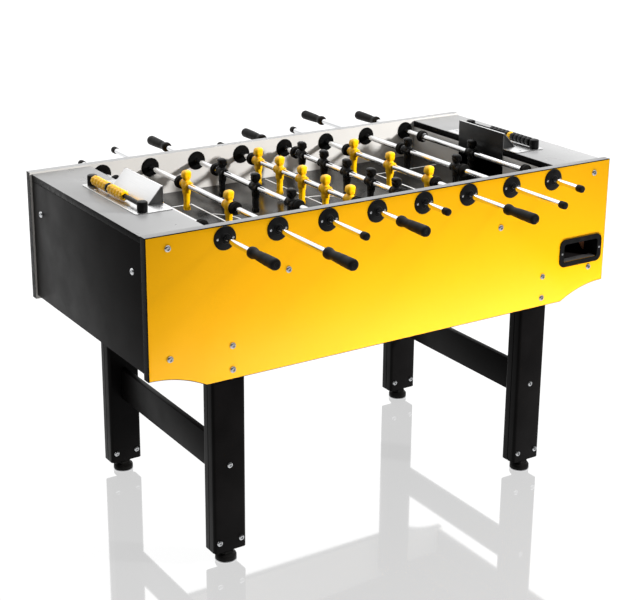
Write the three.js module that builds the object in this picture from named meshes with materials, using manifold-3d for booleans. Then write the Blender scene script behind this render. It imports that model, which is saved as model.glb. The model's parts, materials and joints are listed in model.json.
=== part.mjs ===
// Foosball table: a cabinet on four legs, eight rods of figures that slide and spin,
// and a sliding bead counter on each end deck.
// Millimetres. X runs along the table from goal to goal, Y across it, Z up.
// The origin is on the floor, under the middle of the table.

import * as THREE from "three";
import { mergeVertices } from "three/addons/utils/BufferGeometryUtils.js";
import Module from "manifold-3d";

const wasm = await Module();
wasm.setup();

// ---------------------------------------------------------------- driving dimensions

const GAP = 0.3; // clearance between pieces that touch

const TABLE_LENGTH = 1478; // over the side panels
const TABLE_WIDTH = 728; // over the side panels
const TABLE_HEIGHT = 935; // floor to the side panels' top edge

const PANEL_THICKNESS = 25;
const PANEL_END_HEIGHT = 365; // height of a side panel at its ends
const PANEL_MID_HEIGHT = 406; // height of a side panel between its two arches
const PANEL_ARCH_LENGTH = 158; // how far each arch reaches in from the end

const END_PANEL_INSET = 5; // end panels stand back from the side panels' ends
const END_PANEL_HEIGHT = 350;
const BOARD_THICKNESS = 18;
const DECK_RECESS = 5; // decks lie below the side panels' top edge
const PLAY_HALF_LENGTH = 560; // middle of the field to a goal wall

const FIELD_BELOW_TOP = 117;
const GOAL_HALF_WIDTH = 104;
const GOAL_HEIGHT = 79;

const ROD_PITCH = 150;
const ROD_COUNT = 8;
const ROD_BELOW_TOP = 33;
const ROD_RADIUS = 8;

const FLANGE_OUTER = { radius: 31, thickness: 4 };
const FLANGE_INNER = { radius: 27.5, thickness: 5 };
const BEARING_BORE_RADIUS = 9.2;

const GRIP_LENGTH = 115;
const CAP_RADIUS = 12;
const CAP_LENGTH = 20;
const COLLAR_RADIUS = 12;
const BUMPER_RADIUS = 18;
const BUMPER_LENGTH = 16;
const BUMPER_BORE_RADIUS = 9;

const FIGURE_HALF_WIDTH = 19;
const FIGURE_REACH = 72; // rod axis to the sole
const FIGURE_TOP = 41; // rod axis to the crown
const FIGURE_BORE_RADIUS = 8.6;

const LEG = { centreX: 504, width: 96, depth: 54, bottom: 35, top: 650, corner: 8 };
const FOOT_RADIUS = 29;
const STRETCHER = { thickness: 18, bottom: 234, top: 329 };

const COUNTER = {
  plateLength: 104,
  plateHalfWidth: 166,
  sheet: 2,
  housingHalfWidth: 105,
  housingRise: 47,
  housingDepth: 46,
  frontBottomBelowTop: 40,
  rodFromMiddle: 639,
  rodRadius: 6,
  rodRise: 16,
  postFromMiddle: 149,
  postRadius: 14,
  postHeight: 28,
};
const BEAD = { radius: 14, pitch: 17, bore: 6.6, count: 5, spacerLength: 14 };

const WINDOW = { centreX: 645, centreZ: 675, width: 132, height: 58, bezelWidth: 158, bezelHeight: 82, clearance: 1 };
const DUCT_WALL = 3;
const GOAL_WALL_DROP = 38; // below the playfield
const CUT_MARGIN = 20; // how far a cutting solid runs past the faces it cuts

// ---------------------------------------------------------------- worked-out levels

const HALF_LENGTH = TABLE_LENGTH / 2;
const HALF_WIDTH = TABLE_WIDTH / 2;
const INNER_HALF_WIDTH = HALF_WIDTH - PANEL_THICKNESS;
const BOARD_HALF_WIDTH = INNER_HALF_WIDTH - GAP;
const ROD_Z = TABLE_HEIGHT - ROD_BELOW_TOP;
const FIELD_Z = TABLE_HEIGHT - FIELD_BELOW_TOP;
const DECK_TOP = TABLE_HEIGHT - DECK_RECESS;
const DECK_BOTTOM = DECK_TOP - BOARD_THICKNESS;
const END_PANEL_FACE = HALF_LENGTH - END_PANEL_INSET;

// ---------------------------------------------------------------- rods and their figures

// gripEnd and capEnd are the distances from the middle of the table to the two ends of a
// centred rod; figures are the figures' places along it.
const ROD_KINDS = {
  goalkeeper: { gripEnd: 605, capEnd: 485, figures: [0], bumper: 246 },
  defence: { gripEnd: 701, capEnd: 583, figures: [-118, 118], bumper: 151 },
  attack: { gripEnd: 637, capEnd: 537, figures: [-186, 0, 186], bumper: 219 },
  midfield: { gripEnd: 578, capEnd: 472, figures: [-239, -119.5, 0, 119.5, 239], bumper: 272 },
};
// From left to right. The yellow team plays from the front, the black team from the back.
const RODS = [
  { kind: "goalkeeper", team: "yellow" },
  { kind: "defence", team: "yellow" },
  { kind: "attack", team: "black" },
  { kind: "midfield", team: "yellow" },
  { kind: "midfield", team: "black" },
  { kind: "attack", team: "yellow" },
  { kind: "defence", team: "black" },
  { kind: "goalkeeper", team: "black" },
];

// ---------------------------------------------------------------- materials

function finish(color, roughness, metalness) {
  return { color, roughness, metalness };
}
const FINISHES = {
  yellowLaminate: finish(0xffc800, 0.35, 0),
  blackLaminate: finish(0x1b1b1d, 0.45, 0),
  whiteLaminate: finish(0xe6e3de, 0.5, 0),
  field: finish(0x2e3133, 0.35, 0),
  steel: finish(0xd8dadc, 0.3, 1),
  chrome: finish(0xf0f0f0, 0.08, 1),
  rubber: finish(0x18181a, 0.7, 0),
  yellowPlastic: finish(0xffb400, 0.3, 0),
  blackPlastic: finish(0x121214, 0.3, 0),
};

// ---------------------------------------------------------------- geometry helpers

const table = new THREE.Group();

function addPart(name, geometry, finishName) {
  const mesh = new THREE.Mesh(geometry, new THREE.MeshStandardMaterial(FINISHES[finishName]));
  mesh.name = name;
  table.add(mesh);
  return mesh;
}

function toSolid(geometry) {
  const bare = geometry.clone();
  bare.deleteAttribute("normal");
  bare.deleteAttribute("uv");
  const merged = mergeVertices(bare, 1e-4);
  return new wasm.Manifold(
    new wasm.Mesh({
      numProp: 3,
      vertProperties: new Float32Array(merged.attributes.position.array),
      triVerts: new Uint32Array(merged.index.array),
    }),
  );
}

function toGeometry(solid) {
  const mesh = solid.getMesh();
  const geometry = new THREE.BufferGeometry();
  geometry.setAttribute("position", new THREE.BufferAttribute(new Float32Array(mesh.vertProperties), 3));
  geometry.setIndex(new THREE.BufferAttribute(new Uint32Array(mesh.triVerts), 1));
  geometry.computeVertexNormals();
  return geometry;
}

function join(geometries) {
  return geometries.map(toSolid).reduce((whole, piece) => whole.add(piece));
}

function cut(solid, geometries) {
  return geometries.map(toSolid).reduce((whole, piece) => whole.subtract(piece), solid);
}

function box([x0, x1], [y0, y1], [z0, z1]) {
  const geometry = new THREE.BoxGeometry(x1 - x0, y1 - y0, z1 - z0);
  return geometry.translate((x0 + x1) / 2, (y0 + y1) / 2, (z0 + z1) / 2);
}

function middleAndReach(middle, reach) {
  return [middle - reach, middle + reach];
}

function cylinderAlongY(radius, [y0, y1], x, z, segments) {
  const geometry = new THREE.CylinderGeometry(radius, radius, y1 - y0, segments);
  return geometry.translate(x, (y0 + y1) / 2, z);
}

function cylinderAlongZ(radius, [z0, z1], x, y, segments) {
  const geometry = new THREE.CylinderGeometry(radius, radius, z1 - z0, segments);
  return geometry.rotateX(Math.PI / 2).translate(x, y, (z0 + z1) / 2);
}

// A solid turned about the Y axis from [radius, y] points listed with y rising.
function turnedAlongY(profile, segments) {
  return new THREE.LatheGeometry(profile.map(([radius, y]) => new THREE.Vector2(radius, y)), segments);
}

// A flat XZ outline given real thickness from y0 to y1.
function extrudedAlongY(shape, [y0, y1], curveSegments = 8) {
  const geometry = new THREE.ExtrudeGeometry(shape, { depth: y1 - y0, bevelEnabled: false, curveSegments });
  return geometry.rotateX(Math.PI / 2).translate(0, y1, 0);
}

function extrudedAlongZ(shape, [z0, z1], curveSegments = 3) {
  const geometry = new THREE.ExtrudeGeometry(shape, { depth: z1 - z0, bevelEnabled: false, curveSegments });
  return geometry.translate(0, 0, z0);
}

function roundedRectangle(width, height, radius, centreX = 0, centreY = 0) {
  const shape = new THREE.Shape();
  const right = centreX + width / 2 - radius;
  const left = centreX - width / 2 + radius;
  const top = centreY + height / 2 - radius;
  const bottom = centreY - height / 2 + radius;
  shape.absarc(right, top, radius, 0, Math.PI / 2, false);
  shape.absarc(left, top, radius, Math.PI / 2, Math.PI, false);
  shape.absarc(left, bottom, radius, Math.PI, Math.PI * 1.5, false);
  shape.absarc(right, bottom, radius, Math.PI * 1.5, Math.PI * 2, false);
  return shape;
}

// A block whose bottom face is scaled against its top face.
function taperedBlock(topHalf, bottomHalf, [z0, z1]) {
  const geometry = new THREE.BoxGeometry(2, 2, z1 - z0).translate(0, 0, (z0 + z1) / 2);
  const position = geometry.attributes.position;
  for (let i = 0; i < position.count; i += 1) {
    const half = position.getZ(i) > (z0 + z1) / 2 ? topHalf : bottomHalf;
    position.setX(i, position.getX(i) * half[0]);
    position.setY(i, position.getY(i) * half[1]);
  }
  return geometry;
}

// ---------------------------------------------------------------- cabinet panels

// The lower edge rises to each end in a flat arch.
function sidePanelOutline() {
  const drop = PANEL_MID_HEIGHT - PANEL_END_HEIGHT;
  const radius = (PANEL_ARCH_LENGTH ** 2 + drop ** 2) / (2 * drop);
  const sweep = Math.asin(PANEL_ARCH_LENGTH / radius);
  const archZ = TABLE_HEIGHT - PANEL_END_HEIGHT - radius;
  const shape = new THREE.Shape();
  shape.moveTo(-HALF_LENGTH, TABLE_HEIGHT);
  shape.lineTo(-HALF_LENGTH, TABLE_HEIGHT - PANEL_END_HEIGHT);
  shape.absarc(-HALF_LENGTH, archZ, radius, Math.PI / 2, Math.PI / 2 - sweep, true);
  shape.absarc(HALF_LENGTH, archZ, radius, Math.PI / 2 + sweep, Math.PI / 2, true);
  shape.lineTo(HALF_LENGTH, TABLE_HEIGHT);
  return shape;
}

function rodX(index) {
  return (index - (ROD_COUNT - 1) / 2) * ROD_PITCH;
}

// side is -1 for the front panel and 1 for the back one.
function sidePanel(side) {
  const outer = side * HALF_WIDTH;
  const inner = side * INNER_HALF_WIDTH;
  const span = (a, b) => [Math.min(a, b), Math.max(a, b)];
  const flangeOut = span(inner, outer + side * FLANGE_OUTER.thickness);
  const flangeIn = span(inner - side * FLANGE_INNER.thickness, outer - side);
  const pieces = [extrudedAlongY(sidePanelOutline(), span(inner, outer))];
  const bores = [];
  for (let rod = 0; rod < ROD_COUNT; rod += 1) {
    pieces.push(cylinderAlongY(FLANGE_OUTER.radius, flangeOut, rodX(rod), ROD_Z, 16));
    pieces.push(cylinderAlongY(FLANGE_INNER.radius, flangeIn, rodX(rod), ROD_Z, 16));
    const boreSpan = [-HALF_WIDTH - CUT_MARGIN, HALF_WIDTH + CUT_MARGIN];
    bores.push(cylinderAlongY(BEARING_BORE_RADIUS, boreSpan, rodX(rod), ROD_Z, 12));
  }
  return cut(join(pieces), bores);
}

const windowCut = box(
  middleAndReach(WINDOW.centreX, WINDOW.width / 2 + DUCT_WALL + WINDOW.clearance),
  [-HALF_WIDTH - CUT_MARGIN, 0],
  middleAndReach(WINDOW.centreZ, WINDOW.height / 2 + DUCT_WALL + WINDOW.clearance),
);
addPart("side_panel_front", toGeometry(cut(sidePanel(-1), [windowCut])), "yellowLaminate");
addPart("side_panel_back", toGeometry(sidePanel(1)), "yellowLaminate");

// ---------------------------------------------------------------- ends, decks and field

const ENDS = [
  { name: "left", side: -1 },
  { name: "right", side: 1 },
];

function alongX(side, near, far) {
  return side > 0 ? [near, far] : [-far, -near];
}

function goalWall(side) {
  const wall = box(
    alongX(side, PLAY_HALF_LENGTH, PLAY_HALF_LENGTH + BOARD_THICKNESS),
    [-BOARD_HALF_WIDTH, BOARD_HALF_WIDTH],
    [FIELD_Z - GOAL_WALL_DROP, DECK_BOTTOM - GAP],
  );
  const mouth = box(
    alongX(side, PLAY_HALF_LENGTH - CUT_MARGIN, PLAY_HALF_LENGTH + BOARD_THICKNESS + CUT_MARGIN),
    [-GOAL_HALF_WIDTH, GOAL_HALF_WIDTH],
    [FIELD_Z, FIELD_Z + GOAL_HEIGHT],
  );
  return toGeometry(cut(toSolid(wall), [mouth]));
}

for (const { name, side } of ENDS) {
  const endPanel = box(
    alongX(side, END_PANEL_FACE - BOARD_THICKNESS, END_PANEL_FACE),
    [-BOARD_HALF_WIDTH, BOARD_HALF_WIDTH],
    [DECK_TOP - END_PANEL_HEIGHT, DECK_BOTTOM - GAP],
  );
  const deck = box(
    alongX(side, PLAY_HALF_LENGTH, END_PANEL_FACE),
    [-BOARD_HALF_WIDTH, BOARD_HALF_WIDTH],
    [DECK_BOTTOM, DECK_TOP],
  );
  addPart(`end_panel_${name}`, endPanel, "blackLaminate");
  addPart(`end_deck_${name}`, deck, "blackLaminate");
  addPart(`goal_wall_${name}`, goalWall(side), "whiteLaminate");
}

const playfield = box(
  [-PLAY_HALF_LENGTH + GAP, PLAY_HALF_LENGTH - GAP],
  [-BOARD_HALF_WIDTH, BOARD_HALF_WIDTH],
  [FIELD_Z - BOARD_THICKNESS, FIELD_Z],
);
addPart("playfield", playfield, "field");

// ---------------------------------------------------------------- ball return

// A runway board falls from under the left goal to a trough at the right end, and the
// trough falls to the window in the front panel, where a bezel frames the ball pocket.
const RUNWAY = { thickness: 9, highZ: 750, lowZ: 690, lipX: 570, end: 715 };
const TROUGH = { backZ: 672, frontZ: 648 };

function quad(points) {
  return new THREE.Shape(points.map(([a, b]) => new THREE.Vector2(a, b)));
}

function ballReturn() {
  const t = RUNWAY.thickness;
  const runway = extrudedAlongY(
    quad([
      [-RUNWAY.end, RUNWAY.highZ - t],
      [RUNWAY.lipX, RUNWAY.lowZ - t],
      [RUNWAY.lipX, RUNWAY.lowZ],
      [-RUNWAY.end, RUNWAY.highZ],
    ]),
    [-BOARD_HALF_WIDTH, BOARD_HALF_WIDTH],
  );
  const riser = box(
    [RUNWAY.lipX - t, RUNWAY.lipX],
    [-BOARD_HALF_WIDTH, BOARD_HALF_WIDTH],
    [TROUGH.frontZ - t, RUNWAY.lowZ],
  );
  // Drawn as a YZ outline, then turned so that its depth runs along X.
  const trough = new THREE.ExtrudeGeometry(
    quad([
      [-BOARD_HALF_WIDTH, TROUGH.frontZ - t],
      [BOARD_HALF_WIDTH, TROUGH.backZ - t],
      [BOARD_HALF_WIDTH, TROUGH.backZ],
      [-BOARD_HALF_WIDTH, TROUGH.frontZ],
    ]),
    { depth: RUNWAY.end - RUNWAY.lipX + 2, bevelEnabled: false },
  );
  trough.rotateX(Math.PI / 2).rotateZ(Math.PI / 2).translate(RUNWAY.lipX - 2, 0, 0);
  const bezelFront = -HALF_WIDTH - GAP - 4;
  const bezel = extrudedAlongY(
    roundedRectangle(WINDOW.bezelWidth, WINDOW.bezelHeight, 16, WINDOW.centreX, WINDOW.centreZ),
    [bezelFront, -HALF_WIDTH - GAP],
    4,
  );
  const ductOuter = box(
    middleAndReach(WINDOW.centreX, WINDOW.width / 2 + DUCT_WALL),
    [-HALF_WIDTH - 2, -INNER_HALF_WIDTH + 30],
    middleAndReach(WINDOW.centreZ, WINDOW.height / 2 + DUCT_WALL),
  );
  const ductInner = box(
    [WINDOW.centreX - WINDOW.width / 2, WINDOW.centreX + WINDOW.width / 2],
    [bezelFront - 5, -INNER_HALF_WIDTH + 35],
    [TROUGH.frontZ, WINDOW.centreZ + WINDOW.height / 2],
  );
  return toGeometry(cut(join([runway, riser, trough, bezel, ductOuter]), [ductInner]));
}
addPart("ball_return", ballReturn(), "blackPlastic");

// ---------------------------------------------------------------- legs and stretchers

function footAlongZ() {
  const profile = [
    [0, 0],
    [FOOT_RADIUS - 2, 0],
    [FOOT_RADIUS, 3],
    [FOOT_RADIUS, 16],
    [FOOT_RADIUS - 4, 20],
    [FOOT_RADIUS - 4, LEG.bottom + 5],
    [0, LEG.bottom + 5],
  ];
  return turnedAlongY(profile, 16).rotateX(Math.PI / 2);
}

function leg() {
  const post = extrudedAlongZ(roundedRectangle(LEG.width, LEG.depth, LEG.corner), [LEG.bottom, LEG.top]);
  const grooves = [-1, 1].map((side) =>
    box(
      [(side * LEG.width) / 2 - 2, (side * LEG.width) / 2 + 2],
      [-1.5, 1.5],
      [LEG.bottom - 1, LEG.top + 1],
    ),
  );
  return cut(toSolid(post), grooves).add(toSolid(footAlongZ()));
}

const LEG_Y = INNER_HALF_WIDTH - GAP - LEG.depth / 2;
for (const end of ENDS) {
  for (const [place, sideY] of [["front", -1], ["back", 1]]) {
    const mesh = addPart(`leg_${place}_${end.name}`, toGeometry(leg()), "blackLaminate");
    mesh.position.set(end.side * LEG.centreX, sideY * LEG_Y, 0);
  }
  const reach = LEG_Y - LEG.depth / 2 - GAP;
  const half = STRETCHER.thickness / 2;
  const beam = box([-half, half], [-reach, reach], [STRETCHER.bottom, STRETCHER.top]);
  addPart(`stretcher_${end.name}`, beam, "blackLaminate").position.x = end.side * LEG.centreX;
}

// ---------------------------------------------------------------- rods, figures and bumpers

// The grip of a rod whose handle points to -Y, as [radius, y] points from its outer end.
function gripProfile(outerEnd) {
  const start = -outerEnd;
  return [
    [0, start],
    [12.5, start],
    [14.8, start + 4],
    [14.2, start + 60],
    [12, start + 92],
    [14.8, start + 100],
    [14.8, start + 110],
    [12, start + GRIP_LENGTH],
    [ROD_RADIUS, start + GRIP_LENGTH],
  ];
}

function ringProfile(radius, y0, y1) {
  return [
    [ROD_RADIUS, y0],
    [radius, y0],
    [radius, y1],
    [ROD_RADIUS, y1],
  ];
}

const BUMPER_HALF = BUMPER_LENGTH / 2;
const COLLAR_LENGTH = 6;

// The tube with its grip, its fixed collars, the bumper at the capped side and the end cap.
// The bumper at the handle side is a loose ring of its own.
function rodGeometry({ gripEnd, capEnd, bumper }) {
  const bumperInner = bumper - BUMPER_HALF;
  const profile = [
    ...gripProfile(gripEnd),
    ...ringProfile(COLLAR_RADIUS, -bumperInner + GAP, -bumperInner + COLLAR_LENGTH),
    [ROD_RADIUS, bumperInner - COLLAR_LENGTH],
    [COLLAR_RADIUS, bumperInner - COLLAR_LENGTH],
    [COLLAR_RADIUS, bumperInner],
    [BUMPER_RADIUS, bumperInner],
    [BUMPER_RADIUS, bumper + BUMPER_HALF],
    [ROD_RADIUS, bumper + BUMPER_HALF],
    [ROD_RADIUS, capEnd - CAP_LENGTH],
    [CAP_RADIUS, capEnd - CAP_LENGTH],
    [CAP_RADIUS, capEnd],
    [0, capEnd],
  ];
  return turnedAlongY(profile, 12);
}

function bumperGeometry() {
  const ring = [
    [BUMPER_BORE_RADIUS, -BUMPER_HALF],
    [BUMPER_RADIUS, -BUMPER_HALF],
    [BUMPER_RADIUS, BUMPER_HALF],
    [BUMPER_BORE_RADIUS, BUMPER_HALF],
    [BUMPER_BORE_RADIUS, -BUMPER_HALF],
  ];
  return turnedAlongY(ring, 12);
}

// One figure around the origin, hanging from a rod along Y: head up, sole down.
function figureGeometry() {
  const headRadius = 13.5;
  const head = cylinderAlongY(headRadius, [-13, 13], 0, FIGURE_TOP - headRadius, 12);
  const neck = box([-8, 8], [-9, 9], [6, 20]);
  const shoulders = cylinderAlongY(12.5, [-FIGURE_HALF_WIDTH, FIGURE_HALF_WIDTH], 0, 0, 12);
  const trunk = taperedBlock([9.5, 14], [7.5, 11], [-60, -6]);
  const foot = taperedBlock([8, 11.5], [9, 12], [-FIGURE_REACH, -58]);
  const bore = cylinderAlongY(FIGURE_BORE_RADIUS, [-30, 30], 0, 0, 12);
  return toGeometry(cut(join([head, neck, shoulders, trunk, foot]), [bore]));
}

const figure = figureGeometry();
const bumperRing = bumperGeometry();

RODS.forEach(({ kind, team }, index) => {
  const number = index + 1;
  const spec = ROD_KINDS[kind];
  const handleSide = team === "yellow" ? -1 : 1;
  const rod = addPart(`rod_${number}`, rodGeometry(spec), "chrome");
  rod.position.set(rodX(index), 0, ROD_Z);
  rod.rotation.z = handleSide < 0 ? 0 : Math.PI;
  const bumper = addPart(`bumper_${number}`, bumperRing, "rubber");
  bumper.position.set(rodX(index), handleSide * spec.bumper, ROD_Z);
  spec.figures.forEach((y, place) => {
    const player = addPart(`figure_${number}_${place + 1}`, figure, `${team}Plastic`);
    player.position.set(rodX(index), y, ROD_Z);
  });
});

// ---------------------------------------------------------------- score counters

// Built for the right end; the left end's is the same piece turned half round.
function counterUnit() {
  const sheet = COUNTER.sheet;
  const plateBottom = DECK_TOP + GAP;
  const plateTop = plateBottom + sheet;
  const inner = PLAY_HALF_LENGTH - GAP - sheet;
  const outer = PLAY_HALF_LENGTH + COUNTER.plateLength;
  const ridge = DECK_TOP + COUNTER.housingRise;
  const wide = COUNTER.housingHalfWidth;
  const plate = box([inner, outer], [-COUNTER.plateHalfWidth, COUNTER.plateHalfWidth], [plateBottom, plateTop]);
  const front = box(
    [inner, inner + sheet],
    [-wide, wide],
    [TABLE_HEIGHT - COUNTER.frontBottomBelowTop, ridge],
  );
  const wedge = extrudedAlongY(
    quad([
      [inner, plateBottom],
      [inner + COUNTER.housingDepth, plateBottom],
      [inner + COUNTER.housingDepth, plateTop],
      [inner + sheet, ridge],
      [inner, ridge],
    ]),
    [-wide, wide],
  );
  const hollow = extrudedAlongY(
    quad([
      [inner + sheet, plateBottom - 5],
      [inner + COUNTER.housingDepth - 5, plateBottom - 5],
      [inner + COUNTER.housingDepth - 5, plateTop],
      [inner + sheet, ridge - 5],
    ]),
    [-wide + sheet, wide - sheet],
  );
  const posts = [-1, 1].map((side) =>
    cylinderAlongZ(
      COUNTER.postRadius,
      [plateBottom, plateBottom + COUNTER.postHeight],
      COUNTER.rodFromMiddle,
      side * COUNTER.postFromMiddle,
      16,
    ),
  );
  const rail = cylinderAlongY(
    COUNTER.rodRadius,
    [-COUNTER.postFromMiddle, COUNTER.postFromMiddle],
    COUNTER.rodFromMiddle,
    plateTop + COUNTER.rodRise,
    12,
  );
  return toGeometry(cut(join([plate, front, wedge]), [hollow]).add(join([...posts, rail])));
}

// A row of ribbed beads on the counter rail, starting at y = 0 and running to -Y.
function beadProfile(lengths) {
  const rib = 1.5;
  const points = [[BEAD.bore, 0]];
  let y = 0;
  for (const length of lengths) {
    points.push([BEAD.radius - rib, y], [BEAD.radius, y - 3]);
    points.push([BEAD.radius, y - length + 3], [BEAD.radius - rib, y - length]);
    y -= length;
  }
  points.push([BEAD.bore, y], [BEAD.bore, 0]);
  return points.reverse();
}

function withoutRepeats(points) {
  return points.filter(([r, y], i) => i === 0 || points[i - 1][0] !== r || points[i - 1][1] !== y);
}

const unit = counterUnit();
const beads = Array(BEAD.count).fill(BEAD.pitch);
const rowA = turnedAlongY(withoutRepeats(beadProfile(beads)), 10);
const rowB = turnedAlongY(withoutRepeats(beadProfile([BEAD.spacerLength, ...beads])), 10);
const railEnd = COUNTER.postFromMiddle - COUNTER.postRadius - GAP;
const railZ = DECK_TOP + GAP + COUNTER.sheet + COUNTER.rodRise;
const rowBStart = railEnd - BEAD.count * BEAD.pitch - GAP;

// The left counter's beads wait at the back end of their rail, the right one's at the front.
for (const { name, side } of ENDS) {
  const turn = side > 0 ? 0 : Math.PI;
  const beadTurn = side > 0 ? Math.PI : 0;
  const beadFinish = side > 0 ? "blackPlastic" : "yellowPlastic";
  addPart(`score_unit_${name}`, unit, "steel").rotation.z = turn;
  for (const [row, geometry, start] of [["a", rowA, railEnd], ["b", rowB, rowBStart]]) {
    const mesh = addPart(`score_beads_${name}_${row}`, geometry, beadFinish);
    mesh.rotation.z = beadTurn;
    mesh.position.set(side * COUNTER.rodFromMiddle, -side * start, railZ);
  }
}

export default table;
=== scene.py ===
import json
import math

import bmesh
import bpy
from bpy.props import FloatProperty, FloatVectorProperty, IntProperty, PointerProperty
from mathutils import Matrix, Vector


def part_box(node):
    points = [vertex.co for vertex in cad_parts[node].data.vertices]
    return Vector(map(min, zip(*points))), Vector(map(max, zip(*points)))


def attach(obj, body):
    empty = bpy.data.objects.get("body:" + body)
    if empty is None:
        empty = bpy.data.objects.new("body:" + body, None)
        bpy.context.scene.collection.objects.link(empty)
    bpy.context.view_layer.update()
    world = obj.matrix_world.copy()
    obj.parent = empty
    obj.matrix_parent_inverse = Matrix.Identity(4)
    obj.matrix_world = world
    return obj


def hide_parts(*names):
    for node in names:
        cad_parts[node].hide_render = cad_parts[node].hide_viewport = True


bl_info = {
    "name": "Foosball Table Builder",
    "version": (1, 0, 0),
    "blender": (4, 5, 0),
    "location": "View3D > Sidebar > Foosball",
    "description": "Builds a foosball table's detailed pieces on its jointed frame",
    "category": "Add Mesh",
}

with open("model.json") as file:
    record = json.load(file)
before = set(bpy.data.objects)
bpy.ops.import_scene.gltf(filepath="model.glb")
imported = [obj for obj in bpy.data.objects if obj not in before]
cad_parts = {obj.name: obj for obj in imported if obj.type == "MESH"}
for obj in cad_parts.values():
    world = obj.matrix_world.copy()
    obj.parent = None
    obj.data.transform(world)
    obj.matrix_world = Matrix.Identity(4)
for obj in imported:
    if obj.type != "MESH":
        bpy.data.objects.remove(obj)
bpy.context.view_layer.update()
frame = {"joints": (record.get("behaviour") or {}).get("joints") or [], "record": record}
JOINTS = {joint["name"]: joint for joint in frame["joints"]}
BODIES = frame["record"]["behaviour"]["bodies"]
ROD_NUMBERS = range(1, 9)
SIDES = {"front": -1, "back": 1}
ENDS = {"left": -1, "right": 1}
FULL_TURN = math.tau
MM = 0.001
Y_AXIS, Z_AXIS = Vector((0, 1, 0)), Vector((0, 0, 1))

# Fitting sizes, in metres, that follow from the frame's solids.
OUTER_FLANGE, INNER_FLANGE = 0.004, 0.005  # how far the bearings stand out of a side board
ROD_RADIUS = 0.008
ROD_HOLE = 0.0145
ARCH_RISE, ARCH_LENGTH = 0.041, 0.158  # the cut at a side board's lower corners
TOUCH = 1e-6  # closer than this, two points are one


# ------------------------------------------------------------------ user settings


def length(name, description, default):
    return FloatProperty(
        name=name, description=description, default=default, min=0.0, unit="LENGTH", precision=4
    )


def colour(name, description, default):
    return FloatVectorProperty(
        name=name, description=description, default=default, subtype="COLOR", size=3, min=0.0, max=1.0
    )


def angle(name, description, degrees):
    return FloatProperty(
        name=name, description=description, default=math.radians(degrees), subtype="ANGLE"
    )


class FoosballColours(bpy.types.PropertyGroup):
    """Colours of the table's finishes."""

    cabinet: colour("Cabinet", "Outer faces of the side boards", (0.95, 0.455, 0.001))
    board: colour("Black boards", "Ends, legs and stretchers", (0.0045, 0.004, 0.004))
    inner_wall: colour("Inner walls", "Walls round the playfield", (0.6, 0.58, 0.55))
    # The decks' grey is painted reflection: their tops are black laminate that the light makes look grey.
    deck: colour("Decks", "Tops of the two ends and of the side boards", (0.27, 0.27, 0.27))
    field: colour("Playfield", "Playing surface", (0.008, 0.008, 0.0075))
    line: colour("Field lines", "Printed lines on the playing surface", (0.75, 0.75, 0.74))
    home_team: colour("Home team", "Figures played from the front", (1.0, 0.54, 0.002))
    away_team: colour("Away team", "Figures played from the back", (0.0025, 0.0025, 0.0025))


class FoosballSizes(bpy.types.PropertyGroup):
    """Sizes of the fittings that the frame leaves open."""

    edge_band: length("Edge band", "Rounded dark edge round the side boards", 0.0022)
    arris: length("Arris", "Rounding of the black boards' edges", 0.0012)
    bolt_radius: length("Bolt head radius", "Domed hexagon-socket bolts", 0.009)
    bolt_height: length("Bolt head height", "How far the domed bolts stand out", 0.0045)
    flange_screw: length("Flange screw radius", "Screws of the rod bearings", 0.0034)
    line_width: length("Line width", "Printed lines on the playing surface", 0.005)
    circle_radius: length("Centre circle", "Radius of the circle on the halfway line", 0.092)
    box_half_width: length("Box half width", "Half the width of the penalty box", 0.2)
    box_edge: length("Box edge", "From the halfway line to a penalty box", 0.318)
    round_steps: IntProperty(name="Round steps", description="Facets of a turned piece", default=40, min=12)


class FoosballView(bpy.types.PropertyGroup):
    """Camera of the studio."""

    turn: angle("Turn", "Camera's turn", -32.958)
    rise: angle("Rise", "Camera's height angle", 17.488)
    roll: angle("Roll", "Camera's roll", 0.498)
    place: FloatVectorProperty(
        name="Place", description="Camera's place", default=(-2.150487, -3.285381, 1.950241),
        subtype="XYZ", unit="LENGTH",
    )
    lens: FloatProperty(name="Lens", description="Focal length", default=81.82, unit="CAMERA")
    lift: FloatProperty(name="Lift", description="Vertical lens shift", default=-0.0943)


def settings():
    return bpy.context.scene.foosball_colours, bpy.context.scene.foosball_sizes


# ------------------------------------------------------------------ finishes


def map_range(nodes, links, value, low, high, to_low, to_high):
    remap = nodes.new("ShaderNodeMapRange")
    spans = {"From Min": low, "From Max": high, "To Min": to_low, "To Max": to_high}
    for socket, number in spans.items():
        remap.inputs[socket].default_value = number
    links.new(value, remap.inputs["Value"])
    return remap.outputs["Result"]


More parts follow.
